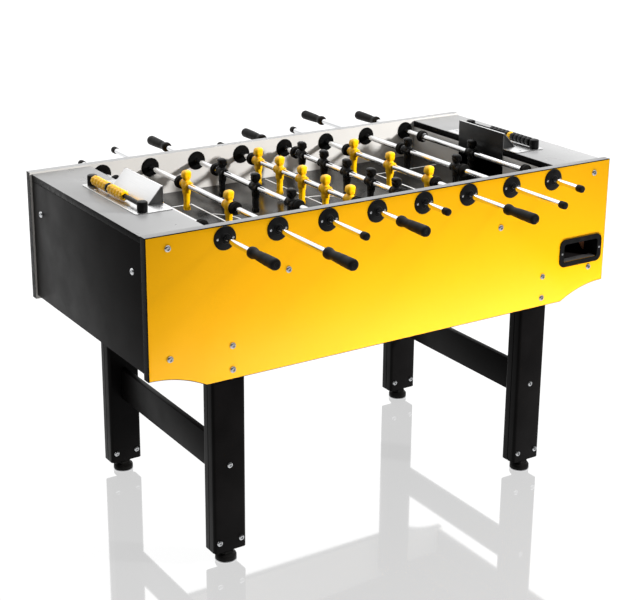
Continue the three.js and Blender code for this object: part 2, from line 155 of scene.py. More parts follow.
class Finish:
    """A procedural material: mottled colour, uneven gloss and a fine surface, all on Object coordinates."""

    def __init__(self, name, base, roughness, metallic=0.0, specular=0.5, coat=0.0, coat_roughness=0.1):
        self.name = name
        self.material = bpy.data.materials.new(name)
        self.material.use_nodes = True
        self.nodes = self.material.node_tree.nodes
        self.links = self.material.node_tree.links
        self.shader = self.nodes["Principled BSDF"]
        self.base = (*base, 1.0)
        self.roughness = roughness
        self.set(("Base Color", self.base), ("Roughness", roughness), ("Metallic", metallic),
                 ("Specular IOR Level", specular), ("Coat Weight", coat), ("Coat Roughness", coat_roughness))
        self.coords = self.nodes.new("ShaderNodeTexCoord")

    def set(self, *values):
        """Sets constant values straight on the shader."""
        for socket, value in values:
            self.shader.inputs[socket].default_value = value

    def grain(self, scale, stretch=(1, 1, 1), detail=4.0):
        """Noise over the object's own coordinates."""
        mapping = self.nodes.new("ShaderNodeMapping")
        mapping.inputs["Scale"].default_value = stretch
        self.links.new(self.coords.outputs["Object"], mapping.inputs["Vector"])
        texture = self.nodes.new("ShaderNodeTexNoise")
        texture.inputs["Scale"].default_value = scale
        texture.inputs["Detail"].default_value = detail
        self.links.new(mapping.outputs["Vector"], texture.inputs["Vector"])
        return texture.outputs["Fac"]

    def window(self, value, low, high, to_low=0.0, to_high=1.0):
        """Stretches one span of a value over another."""
        return map_range(self.nodes, self.links, value, low, high, to_low, to_high)

    def mottle(self, other, scale, low=0.35, high=0.65, stretch=(1, 1, 1)):
        """Blends the colour so far with another one, patch by patch."""
        mix = self.nodes.new("ShaderNodeMix")
        mix.data_type = "RGBA"
        self.links.new(self.window(self.grain(scale, stretch), low, high), mix.inputs["Factor"])
        socket = self.shader.inputs["Base Color"]
        if socket.is_linked:
            self.links.new(socket.links[0].from_socket, mix.inputs["A"])
        else:
            mix.inputs["A"].default_value = self.base
        mix.inputs["B"].default_value = (*other, 1.0)
        self.links.new(mix.outputs["Result"], socket)
        return self

    def sheen_variation(self, spread, scale, stretch=(1, 1, 1)):
        """Makes the gloss uneven, by a spread each way."""
        value = self.window(
            self.grain(scale, stretch), 0.3, 0.7, max(self.roughness - spread, 0.02), self.roughness + spread
        )
        self.links.new(value, self.shader.inputs["Roughness"])
        return self

    def relief(self, scale, strength, distance=0.0004, stretch=(1, 1, 1)):
        """Gives the surface a fine unevenness."""
        bump = self.nodes.new("ShaderNodeBump")
        bump.inputs["Strength"].default_value = strength
        bump.inputs["Distance"].default_value = distance
        self.links.new(self.grain(scale, stretch, 3.0), bump.inputs["Height"])
        socket = self.shader.inputs["Normal"]
        if socket.is_linked:
            self.links.new(socket.links[0].from_socket, bump.inputs["Normal"])
        self.links.new(bump.outputs["Normal"], socket)
        return self


FINISHES = {}  # materials by name, filled by the finishes operator


def darker(base, share):
    return tuple(channel * share for channel in base)


class FOOSBALL_OT_finishes(bpy.types.Operator):
    """Makes every finish of the table from the colours in the settings."""

    bl_idname = "foosball.finishes"
    bl_label = "Finishes"

    def execute(self, context):
        colours, _ = settings()
        cabinet, board, wall, deck = colours.cabinet, colours.board, colours.inner_wall, colours.deck
        field, line, home, away = colours.field, colours.line, colours.home_team, colours.away_team
        made = [
            Finish("cabinet_laminate", cabinet, 0.36, specular=0.1)
            .mottle(darker(cabinet, 0.95), 5).mottle(darker(cabinet, 0.98), 160)
            .sheen_variation(0.04, 9).relief(900, 0.03),
            Finish("board_laminate", board, 0.34, specular=0.03)
            .mottle(darker(board, 1.6), 6).mottle(darker(board, 2.4), 420, 0.6, 0.85)
            .sheen_variation(0.06, 11).relief(1100, 0.1),
            Finish("leg_laminate", darker(board, 0.6), 0.38, specular=0.05)
            .mottle(darker(board, 1.1), 9).mottle(darker(board, 1.8), 420, 0.6, 0.85)
            .sheen_variation(0.06, 11).relief(1100, 0.1),
            # Deck tops: black laminate whose grey colour is painted reflection; the gloss on them is real.
            Finish("deck_painted_reflection", deck, 0.3, specular=0.5)
            .mottle(darker(deck, 0.92), 5).mottle(darker(deck, 0.85), 500, 0.58, 0.8)
            .sheen_variation(0.05, 8).relief(1200, 0.06),
            Finish("edge_band", (0.006, 0.006, 0.006), 0.3, specular=0.03)
            .mottle((0.012, 0.012, 0.012), 40, 0.55, 0.8).sheen_variation(0.1, 60).relief(500, 0.08),
            Finish("wall_laminate", wall, 0.42, specular=0.3)
            .mottle(darker(wall, 0.95), 8).mottle(darker(wall, 0.9), 300, 0.6, 0.9)
            .sheen_variation(0.06, 14).relief(900, 0.05),
            Finish("field_laminate", field, 0.22, specular=0.22)
            .mottle(darker(field, 0.75), 5).mottle(darker(field, 1.6), 350, 0.6, 0.85)
            .sheen_variation(0.05, 10).relief(1000, 0.05),
            Finish("line_paint", line, 0.4)
            .mottle(darker(line, 0.85), 90, 0.5, 0.75).sheen_variation(0.08, 60).relief(1200, 0.1),
            Finish("chrome", (0.82, 0.82, 0.83), 0.1, metallic=1.0)
            .mottle((0.74, 0.75, 0.76), 30, stretch=(1, 0.1, 1)).sheen_variation(0.03, 70, (1, 0.08, 1))
            .relief(260, 0.01, stretch=(1, 0.05, 1)),
            Finish("bolt_steel", (0.75, 0.76, 0.78), 0.16, metallic=1.0)
            .mottle((0.6, 0.61, 0.62), 160).sheen_variation(0.06, 220).relief(800, 0.04),
            Finish("sheet_steel", (0.72, 0.72, 0.72), 0.34, metallic=1.0)
            .mottle((0.69, 0.69, 0.69), 60, stretch=(6, 0.2, 6)).sheen_variation(0.05, 90, (8, 0.15, 8))
            .relief(400, 0.012, stretch=(6, 0.1, 6)),
            # A darker copy of the sheet steel for the counters' cheeks: painted shade.
            Finish("painted_shade_steel", (0.3, 0.3, 0.3), 0.38, metallic=1.0)
            .mottle((0.24, 0.24, 0.24), 60, stretch=(6, 6, 0.2)).sheen_variation(0.05, 90, (8, 8, 0.15))
            .relief(400, 0.012, stretch=(6, 6, 0.1)),
            Finish("black_paint", (0.016, 0.016, 0.016), 0.34, specular=0.2)
            .mottle((0.021, 0.021, 0.021), 30).sheen_variation(0.06, 40).relief(700, 0.05),
            Finish("rubber", (0.0045, 0.0043, 0.004), 0.5, specular=0.1)
            .mottle((0.009, 0.0085, 0.008), 45).sheen_variation(0.1, 60).relief(1500, 0.25),
            Finish("bearing_nylon", (0.003, 0.003, 0.003), 0.34, specular=0.14)
            .mottle((0.006, 0.006, 0.006), 50).sheen_variation(0.08, 70).relief(900, 0.1),
            Finish("home_plastic", home, 0.34, specular=0.35)
            .mottle(darker(home, 0.85), 90).sheen_variation(0.09, 120).relief(320, 0.3, 0.0006),
            Finish("away_plastic", away, 0.3, specular=0.18)
            .mottle(darker(away, 2.0), 60).sheen_variation(0.09, 120).relief(320, 0.25, 0.0006),
            Finish("raw_wood", (0.6, 0.24, 0.12), 0.6, specular=0.2)
            .mottle((0.5, 0.2, 0.1), 30, stretch=(1, 8, 1)).sheen_variation(0.1, 50)
            .relief(300, 0.3, stretch=(1, 6, 1)),
            Finish("foot_ring", (0.55, 0.55, 0.56), 0.3, metallic=1.0)
            .mottle((0.35, 0.35, 0.36), 120).sheen_variation(0.1, 150).relief(600, 0.1),
        ]
        FINISHES.clear()
        FINISHES.update({finish.name: finish.material for finish in made})
        return {"FINISHED"}


# ------------------------------------------------------------------ mesh tools


class Piece:
    """Collects the shapes of one finished piece, each with its own finish."""

    def __init__(self, name, body, slot, *finishes):
        self.name, self.body, self.slot, self.finishes = name, body, slot, finishes
        self.mesh = bmesh.new()

    def add(self, shape, finish=0, place=None, close=True):
        """Moves a shape into the piece and empties it."""
        if close:
            bmesh.ops.remove_doubles(shape, verts=shape.verts, dist=TOUCH)
            bmesh.ops.recalc_face_normals(shape, faces=shape.faces)
        if place is not None:
            bmesh.ops.transform(shape, matrix=place, verts=shape.verts)
        if finish is not None:
            for face in shape.faces:
                face.material_index = finish
        pour(shape, self.mesh)

    def finish(self, *nodes, smooth=35.0, subdivide=0):
        """Makes the object, rides it on its body and hides the frame's parts that it stands for."""
        data = bpy.data.meshes.new(self.name)
        self.mesh.to_mesh(data)
        self.mesh.free()
        data.shade_smooth()
        if not subdivide:
            data.set_sharp_from_angle(angle=math.radians(smooth))
        for name in self.finishes:
            data.materials.append(FINISHES[name])
        piece = bpy.data.objects.new(self.name, data)
        bpy.context.scene.collection.objects.link(piece)
        if subdivide:
            smoothing = piece.modifiers.new("smoothing", "SUBSURF")
            smoothing.levels = smoothing.render_levels = subdivide
        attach(piece, self.body)
        if nodes:
            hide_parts(*nodes)


def single(name, body, slot, finish, shape, place=None, node=None, smooth=35.0):
    """Makes a piece of one shape in one finish."""
    piece = Piece(name, body, slot, finish)
    piece.add(shape, 0, place)
    piece.finish(*([node] if node else []), smooth=smooth)


def pour(shape, target):
    """Moves everything in a shape into another mesh and empties it."""
    carrier = bpy.data.meshes.new("carrier")
    shape.to_mesh(carrier)
    shape.free()
    target.from_mesh(carrier)
    bpy.data.meshes.remove(carrier)


def pointing(direction, place):
    """Turns a shape built along +Z to point another way, at a place."""
    turn = Vector(direction).to_track_quat("Z", "Y").to_matrix().to_4x4()
    return Matrix.Translation(Vector(place)) @ turn


def turned(profile, steps=None):
    """A shape spun round Z from (radius, height) points; it closes on itself if its ends meet."""
    shape = bmesh.new()
    loop = Vector(profile[0]) == Vector(profile[-1])
    points = profile[:-1] if loop else profile
    verts = [shape.verts.new((radius, 0, height)) for radius, height in points]
    edges = [shape.edges.new(pair) for pair in zip(verts, verts[1:])]
    if loop:
        edges.append(shape.edges.new((verts[-1], verts[0])))
    bmesh.ops.spin(
        shape, geom=verts + edges, cent=(0, 0, 0), axis=Z_AXIS, dvec=(0, 0, 0), angle=FULL_TURN,
        steps=steps or settings()[1].round_steps, use_merge=True, use_normal_flip=False, use_duplicate=False,
    )
    return shape


def block(low, high, arris=0.0, segments=2):
    """A box between two corners with rounded edges."""
    shape = bmesh.new()
    low, high = Vector(low), Vector(high)
    place = Matrix.Translation((low + high) / 2) @ Matrix.Diagonal((*(high - low), 1.0))
    bmesh.ops.create_cube(shape, size=1.0, matrix=place)
    if arris:
        round_off(shape, shape.edges[:], arris, segments)
    return shape


def round_off(shape, edges, width, segments=2, affect="EDGES"):
    """Rounds the edges, or the corners of a flat outline, of a shape."""
    bmesh.ops.bevel(
        shape, geom=edges, offset=width, offset_type="OFFSET", segments=segments, profile=0.5, affect=affect,
        material=-1, clamp_overlap=True,
    )


def rounded_sheet(width, height, radius, segments=6):
    """A flat rounded rectangle on z = 0."""
    shape = bmesh.new()
    bmesh.ops.create_grid(shape, x_segments=1, y_segments=1, size=0.5)
    bmesh.ops.scale(shape, vec=(width, height, 1), verts=shape.verts)
    round_off(shape, shape.verts[:], radius, segments, "VERTICES")
    return shape


def rounded_loop(width, height, radius):
    """The bare outline of a rounded rectangle."""
    shape = rounded_sheet(width, height, radius)
    bmesh.ops.delete(shape, geom=shape.faces[:], context="FACES_ONLY")
    return shape


def plate(width, height, radius, thickness, arris=0.0, segments=6):
    """A rounded rectangle lying on z = 0 with its thickness above."""
    shape = rounded_sheet(width, height, radius, segments)
    thicken(shape, (0, 0, thickness))
    if arris:
        rim = [e for e in shape.edges if all(abs(v.co.z - thickness) < 1e-7 for v in e.verts)]
        round_off(shape, rim, arris)
    return shape


def thicken(shape, step):
    """Gives a flat shape real thickness: its far side lies one step away."""
    made = bmesh.ops.extrude_face_region(shape, geom=shape.faces[:], use_keep_orig=True)
    far_side = [item for item in made["geom"] if isinstance(item, bmesh.types.BMVert)]
    bmesh.ops.translate(shape, vec=step, verts=far_side)
    bmesh.ops.recalc_face_normals(shape, faces=shape.faces)


def prism(corners, depth, arris=0.0):
    """A flat outline of (x, z) corners given depth along +Y from y = 0."""
    shape = bmesh.new()
    shape.faces.new([shape.verts.new((x, 0, z)) for x, z in corners])
    thicken(shape, (0, depth, 0))
    if arris:
        round_off(shape, shape.edges[:], arris)
    return shape


def lofted(rings, sides=16):
    """Bridges squarish rings, from the lowest to the highest.

    A ring is (height, middle x, half x, half y), in millimetres, and its squareness.
    """
    shape = bmesh.new()
    loops = []
    for *sizes, square in rings:
        height, middle, half_x, half_y = (size * MM for size in sizes)
        ring = bmesh.ops.create_circle(shape, cap_ends=False, radius=1.0, segments=sides)["verts"]
        for vert in ring:
            power = 2 + square
            reach = (abs(vert.co.x) ** power + abs(vert.co.y) ** power) ** (-1 / power)
            vert.co = (middle + vert.co.x * reach * half_x, vert.co.y * reach * half_y, height)
        loops.append(list({edge for vert in ring for edge in vert.link_edges}))
    for lower, upper in zip(loops, loops[1:]):
        bmesh.ops.bridge_loops(shape, edges=lower + upper)
    bmesh.ops.holes_fill(shape, edges=shape.edges, sides=0)
    bmesh.ops.recalc_face_normals(shape, faces=shape.faces)
    return shape


def flute(verts, ribs, depth):
    """Draws verts in between ribs, by a share of their radius."""
    for vert in verts:
        rib = math.cos(math.atan2(vert.co.y, vert.co.x) * ribs)
        vert.co.xy *= 1 - depth * (1 - rib) / 2


def domed_bolt(radius, height):
    """A domed head with a hexagon socket, standing on z = 0."""
    inner = radius * 0.45
    dome = [(radius, 0), (radius, height * 0.25), (radius * 0.92, height * 0.6)]
    dome += [(radius * 0.72, height * 0.88)]
    well = [(inner * 1.15, height), (inner, height * 0.96), (inner, height * 0.35), (0, height * 0.2)]
    shape = turned([(0, 0), *dome, *well], 24)
    for vert in shape.verts:
        out = vert.co.xy.length
        if abs(out - inner) < 1e-7 and vert.co.z > 0:
            angle = math.atan2(vert.co.y, vert.co.x) % (FULL_TURN / 6) - FULL_TURN / 12
            vert.co.xy *= math.cos(FULL_TURN / 12) / math.cos(angle)
    return shape


def opening(name):
    """The two corners of an opening that the record keeps clear."""
    boxes = {item["name"]: item["box_m"] for item in frame["record"]["physics"]["openings"]}
    return [Vector(corner) for corner in boxes[name]]


def outer_face(name):
    """Y of a side board's outer face, behind the flanges of its bearings."""
    low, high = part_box(f"side_panel_{name}")
    return low.y + OUTER_FLANGE if SIDES[name] < 0 else high.y - OUTER_FLANGE


def rod_place(number):
    """A rod's axis in X and Z, which side its handle is on, and its body's name."""
    spin = JOINTS[f"rod_{number}_spin"]
    low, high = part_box(f"bumper_{number}")
    return spin["pos_m"][0], spin["pos_m"][2], math.copysign(1, low.y + high.y), spin["child"]


# ------------------------------------------------------------------ cabinet


def arched_outline(shape, low, high, y):
    """The side board's outline: straight top and ends, and a flat arch at each lower corner."""
    end_z = low.z + ARCH_RISE
    radius = (ARCH_LENGTH**2 + ARCH_RISE**2) / (2 * ARCH_RISE)
    sweep = math.asin(ARCH_LENGTH / radius)
    corners = [(low.x, high.z), (low.x, end_z), (high.x, end_z), (high.x, high.z)]
    top_left, low_left, low_right, top_right = (shape.verts.new((x, y, z)) for x, z in corners)
    ends = []
    for vert, direction in ((low_left, 1), (low_right, -1)):
        made = bmesh.ops.spin(
            shape, geom=[vert], cent=(vert.co.x, y, end_z - radius), axis=Y_AXIS, dvec=(0, 0, 0),
            angle=direction * sweep, steps=14, use_merge=False, use_normal_flip=False, use_duplicate=False,
        )
        ends.append([item for item in made["geom_last"] if isinstance(item, bmesh.types.BMVert)][0])
    for pair in ((top_left, low_left), ends, (low_right, top_right), (top_right, top_left)):
        shape.edges.new(pair)


class FOOSBALL_OT_side_boards(bpy.types.Operator):
    """Builds the two side boards with their rod holes, arched corners and dark edge bands."""

    bl_idname = "foosball.side_boards"
    bl_label = "Side Boards"

    def execute(self, context):
        _, sizes = settings()
        for name, side in SIDES.items():
            low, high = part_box(f"side_panel_{name}")
            outer = outer_face(name)
            inner = high.y - INNER_FLANGE if side < 0 else low.y + INNER_FLANGE
            shape = bmesh.new()
            arched_outline(shape, low, high, outer)
            for number in ROD_NUMBERS:
                x, z, _, _ = rod_place(number)
                hole = Matrix.Translation((x, outer, z)) @ Matrix.Rotation(math.pi / 2, 4, "X")
                bmesh.ops.create_circle(shape, cap_ends=False, radius=ROD_HOLE, segments=24, matrix=hole)
            if side < 0:
                self.window(shape, outer)
            bmesh.ops.triangle_fill(shape, use_beauty=True, use_dissolve=False, edges=shape.edges[:])
            thicken(shape, (0, inner - outer, 0))
            rim = [e for e in shape.edges if self.on_rim(e, low, high, outer)]
            round_off(shape, rim, sizes.edge_band, 3)
            for face in shape.faces:
                face.material_index = self.finish_of(face.normal.y * side, face.normal.z)
            piece = Piece(f"side_board_{name}", "cabinet", "yellow_laminate", "cabinet_laminate",
                          "wall_laminate", "edge_band", "deck_painted_reflection")
            piece.add(shape, finish=None, close=False)
            piece.finish(f"side_panel_{name}", smooth=20)
        return {"FINISHED"}

    def finish_of(self, outward, upward):
        """Which of the board's finishes a face gets: outside, inside, top or edge."""
        if abs(outward) > 0.999:
            return 0 if outward > 0 else 1
        # The top takes the deck finish, whose grey is painted reflection.
        return 3 if upward > 0.99 else 2

    def on_rim(self, edge, low, high, outer):
        """An edge where the outer face meets the board's top, ends or lower edge."""
        if len(edge.link_faces) != 2 or any(abs(v.co.y - outer) > TOUCH for v in edge.verts):
            return False
        if all(abs(abs(face.normal.y) - 1) < 1e-3 for face in edge.link_faces):
            return False
        middle = (edge.verts[0].co + edge.verts[1].co) / 2
        on_side = min(abs(middle.x - low.x), abs(middle.x - high.x), abs(middle.z - high.z)) < 1e-4
        return on_side or middle.z < low.z + ARCH_RISE + 0.0005

    def window(self, shape, outer):
        """The hole for the ball window, as a loop in the outline."""
        low, high = opening("ball_pocket")
        room, corner = 0.006, 0.012
        hole = rounded_loop(high.x - low.x + room, high.z - low.z + room, corner)
        middle = (low + high) / 2
        turn = Matrix.Translation((middle.x, outer, middle.z)) @ Matrix.Rotation(math.pi / 2, 4, "X")
        bmesh.ops.transform(hole, matrix=turn, verts=hole.verts)
        pour(hole, shape)


class FOOSBALL_OT_bearings(bpy.types.Operator):
    """Builds the sixteen rod bearings: outer flange, sleeve, inner flange and two screws."""

    bl_idname = "foosball.bearings"
    bl_label = "Rod Bearings"

    def execute(self, context):
        _, sizes = settings()
        for name, side in SIDES.items():
            for number in ROD_NUMBERS:
                x, z, _, _ = rod_place(number)
                place = pointing((0, side, 0), (x, outer_face(name), z))
                piece = Piece(f"bearing_{name}_{number}", "cabinet", "rubber", "bearing_nylon", "bolt_steel")
                piece.add(turned(self.sleeve_profile()), 0, place)
                for across in (-0.0218, 0.0218):
                    screw = domed_bolt(sizes.flange_screw, 0.0016)
                    piece.add(screw, 1, place @ Matrix.Translation((across, 0, 0.0027)))
                piece.finish(smooth=30)
        return {"FINISHED"}

    def sleeve_profile(self):
        """Bore, outer flange with its hub, sleeve through the board and domed inner flange."""
        bore, sleeve, thickness = 0.0088, 0.0138, 0.025
        outer = [(bore, 0.0046), (0.0105, 0.0052), (0.0128, 0.005), (0.0142, 0.0034), (0.0285, 0.0028)]
        outer += [(0.0302, 0.0022), (0.031, 0.0008), (0.031, 0.0)]
        inner = [(0.0275, -thickness), (0.0275, -thickness - 0.0012), (0.026, -thickness - 0.0028)]
        inner += [(0.019, -thickness - 0.0042), (0.0115, -thickness - 0.0052), (bore, -thickness - 0.0052)]
        return [*outer, (sleeve, 0.0), (sleeve, -thickness), *inner, outer[0]]


class FOOSBALL_OT_end_boards(bpy.types.Operator):
    """Builds the end panels, end decks and goal walls, with the bolts in the end panels."""

    bl_idname = "foosball.end_boards"
    bl_label = "End Boards"

    def execute(self, context):
        _, sizes = settings()
        for name, side in ENDS.items():
            panel = Piece(f"end_board_{name}", "cabinet", "black_laminate", "board_laminate", "bolt_steel")
            low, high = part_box(f"end_panel_{name}")
            panel.add(block(low, high, sizes.arris))
            face, bolt_z = low.x if side < 0 else high.x, 0.83
            for y in (-0.282, 0.282):
                bolt = domed_bolt(sizes.bolt_radius, sizes.bolt_height)
                panel.add(bolt, 1, pointing((side, 0, 0), (face, y, bolt_z)))
            panel.finish(f"end_panel_{name}")
            deck = Piece(f"deck_board_{name}", "cabinet", "black_laminate", "deck_painted_reflection", "edge_band")
            low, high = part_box(f"end_deck_{name}")
            deck.add(block(low, high, sizes.arris), None)
            # The top takes the deck finish, whose grey is painted reflection; the edges stay dark.
            for face in deck.mesh.faces:
                face.material_index = 0 if face.normal.z > 0.9 else 1
            deck.finish(f"end_deck_{name}")
            self.goal_wall(name)
        return {"FINISHED"}

    def goal_wall(self, name):
        """A board with the goal mouth cut through it and dark edges round the mouth."""
        low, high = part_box(f"goal_wall_{name}")
        half = opening(f"goal_mouth_{name}")[1].y + 0.0005
        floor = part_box("playfield")[1].z
        top = floor + 0.079
        shape = bmesh.new()
        outline = [(low.y, low.z), (high.y, low.z), (high.y, high.z), (low.y, high.z)]
        hole = [(-half, floor), (half, floor), (half, top), (-half, top)]
        for corners in (outline, hole):
            verts = [shape.verts.new((low.x, y, z)) for y, z in corners]
            for pair in zip(verts, verts[1:] + verts[:1]):
                shape.edges.new(pair)
        bmesh.ops.triangle_fill(shape, use_beauty=True, use_dissolve=False, edges=shape.edges[:])
        thicken(shape, (high.x - low.x, 0, 0))
        sharp = [e for e in shape.edges if len(e.link_faces) == 2 and e.calc_face_angle() > 1.0]
        round_off(shape, sharp, 0.001)
        for face in shape.faces:
            face.material_index = 0 if abs(face.normal.x) > 0.999 else 1
        piece = Piece(f"goal_board_{name}", "cabinet", "white_laminate", "wall_laminate", "edge_band")
        piece.add(shape, None, close=False)
        piece.finish(f"goal_wall_{name}")


class FOOSBALL_OT_playfield(bpy.types.Operator):
    """Builds the playing surface and its printed lines."""

    bl_idname = "foosball.playfield"
    bl_label = "Playfield"

    def execute(self, context):
        _, sizes = settings()
        low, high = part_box("playfield")
        board = block(low, high, 0.0008)
        single("field_board", "cabinet", "playfield", "field_laminate", board, node="playfield")
        self.lines(high, sizes)
        return {"FINISHED"}

    def lines(self, high, sizes):
        """Halfway line, centre circle and spot, and a box with its bow and spot at each end."""
        lines = Piece("field_lines", "cabinet", "playfield", "line_paint")
        half, margin, box_y = sizes.line_width / 2, 0.012, sizes.box_half_width
        under, over = high.z - 0.0002, high.z + 0.00025

        def stripe(x0, x1, y0, y1):
            lines.add(block((x0, y0, under), (x1, y1, over), 0.0001, 1))

        def spot(radius):
            return turned([(0, under), (radius, under), (radius, over), (0, over)], 24)

        def ring(radius):
            inner, outer = radius - half, radius + half
            return turned([(inner, under), (outer, under), (outer, over), (inner, over), (inner, under)], 64)

        for side in (-1, 1):
            box_x = side * sizes.box_edge
            near, far = sorted((side * (high.x - margin), box_x))
            for y in (-box_y, box_y):
                stripe(near, far, y - half, y + half)
            stripe(box_x - half, box_x + half, -box_y - half, box_y + half)
            lines.add(spot(0.006), 0, Matrix.Translation((side * 0.4, 0, 0)))
            lines.add(self.bow(ring(0.1), side, sizes.box_edge - half))
        stripe(-half, half, margin - high.y, high.y - margin)
        lines.add(ring(sizes.circle_radius))
        lines.add(spot(0.007))
        lines.finish()

    def bow(self, shape, side, edge):
        """The bow in front of a box: a ring cut off at the box's edge."""
        centre = 0.372
        bmesh.ops.translate(shape, vec=(side * centre, 0, 0), verts=shape.verts)
        cut = bmesh.ops.bisect_plane(
            shape, geom=shape.verts[:] + shape.edges[:] + shape.faces[:], dist=1e-7,
            plane_co=(side * edge, 0, 0), plane_no=(side, 0, 0), clear_outer=True,
        )
        rims = [item for item in cut["geom_cut"] if isinstance(item, bmesh.types.BMEdge)]
        bmesh.ops.holes_fill(shape, edges=rims, sides=0)
        return shape


class FOOSBALL_OT_ball_return(bpy.types.Operator):
    """Builds the ball window, its pocket and the runway under the playfield."""

    bl_idname = "foosball.ball_return"
    bl_label = "Ball Return"

    def execute(self, context):
        low, high = opening("ball_pocket")
        front = outer_face("front")
        middle_x = (low.x + high.x) / 2
        self.bezel(middle_x, front)
        self.pocket(low, high, front)
        self.runway(middle_x)
        return {"FINISHED"}

    def bezel(self, middle_x, front):
        """The window's black frame, with a screw at each end."""
        bezel = Piece("window_bezel", "cabinet", "black_plastic", "edge_band", "bolt_steel")
        middle_z, thickness = 0.675, 0.0036
        shape = plate(0.158, 0.082, 0.019, thickness, segments=8)
        self.pierce(shape, 0.128, 0.054, 0.008)
        turn = Matrix.Rotation(math.pi / 2, 4, "X")
        bezel.add(shape, 0, Matrix.Translation((middle_x, front, middle_z)) @ turn)
        for across in (-0.0705, 0.0705):
            screw = domed_bolt(0.0032, 0.0014)
            bezel.add(screw, 1, pointing((0, -1, 0), (middle_x + across, front - 0.0034, middle_z)))
        bezel.finish(smooth=30)

    def pocket(self, low, high, front):
        """The pocket behind the window: floor, ceiling and two cheeks."""
        pocket = Piece("ball_pocket", "cabinet", "black_plastic", "edge_band")
        wall, gap, arris = 0.003, 0.0005, 0.0006
        x0, x1 = low.x - wall - gap, high.x + wall + gap
        y0, y1 = front + gap, -0.31
        z0, z1 = 0.643, high.z + wall
        floor = z0 + 0.005
        for (left, bottom), (right, top) in (
            ((x0, z0), (x1, floor)),
            ((x0, z1 - wall), (x1, z1)),
            ((x0, floor), (x0 + wall, z1 - wall)),
            ((x1 - wall, floor), (x1, z1 - wall)),
        ):
            pocket.add(block((left, y0, bottom), (right, y1, top), arris))
        pocket.finish("ball_return", smooth=30)

    def runway(self, middle_x):
        """The sloping board under the field, its riser, the trough to the window and a wooden gusset."""
        run = Piece("ball_runway", "cabinet", "black_plastic", "board_laminate", "raw_wood")
        half, lip, end, thick, arris = 0.3385, 0.57, 0.715, 0.009, 0.0008
        high_end, lip_z, trough_z, trough_low = 0.75, 0.69, 0.672, 0.648
        slope = [(-end, high_end - thick), (lip, lip_z - thick), (lip, lip_z), (-end, high_end)]
        run.add(prism(slope, 2 * half, arris), 0, Matrix.Translation((0, -half, 0)))
        run.add(block((lip - thick, -half, trough_low - thick), (lip, half, lip_z), arris), 0)
        fall = [(-half, trough_low - thick), (half, trough_z - thick), (half, trough_z), (-half, trough_low)]
        turn = Matrix.Rotation(-math.pi / 2, 4, "Z") @ Matrix.Diagonal((-1, 1, 1, 1))
        run.add(prism(fall, end - lip, arris), 0, Matrix.Translation((lip, 0, 0)) @ turn)
        top, bottom, edge = 0.7, 0.652, end - 0.001
        gusset = [(middle_x + 0.034, top), (edge, top), (edge, bottom), (middle_x + 0.064, bottom)]
        run.add(prism(gusset, 0.006, arris), 1, Matrix.Translation((0, -0.309, 0)))
        bmesh.ops.recalc_face_normals(run.mesh, faces=run.mesh.faces)
        run.finish()

    def pierce(self, shape, width, height, radius):
        """Turns a rounded plate into a frame by bridging its faces to an inner outline."""
        flats = [f for f in shape.faces if abs(f.normal.z) > 0.9]
        for face in flats:
            level = face.calc_center_median().z
            rim = list(face.edges)
            bmesh.ops.delete(shape, geom=[face], context="FACES_ONLY")
            inner = rounded_loop(width, height, radius)
            before = set(shape.edges)
            bmesh.ops.translate(inner, vec=(0, 0, level), verts=inner.verts)
            pour(inner, shape)
            hole = [e for e in shape.edges if e not in before]
            bmesh.ops.triangle_fill(shape, use_beauty=True, use_dissolve=False, edges=rim + hole)
        inner_rims = [e for e in shape.edges if len(e.link_faces) == 1]
        bmesh.ops.bridge_loops(shape, edges=inner_rims)


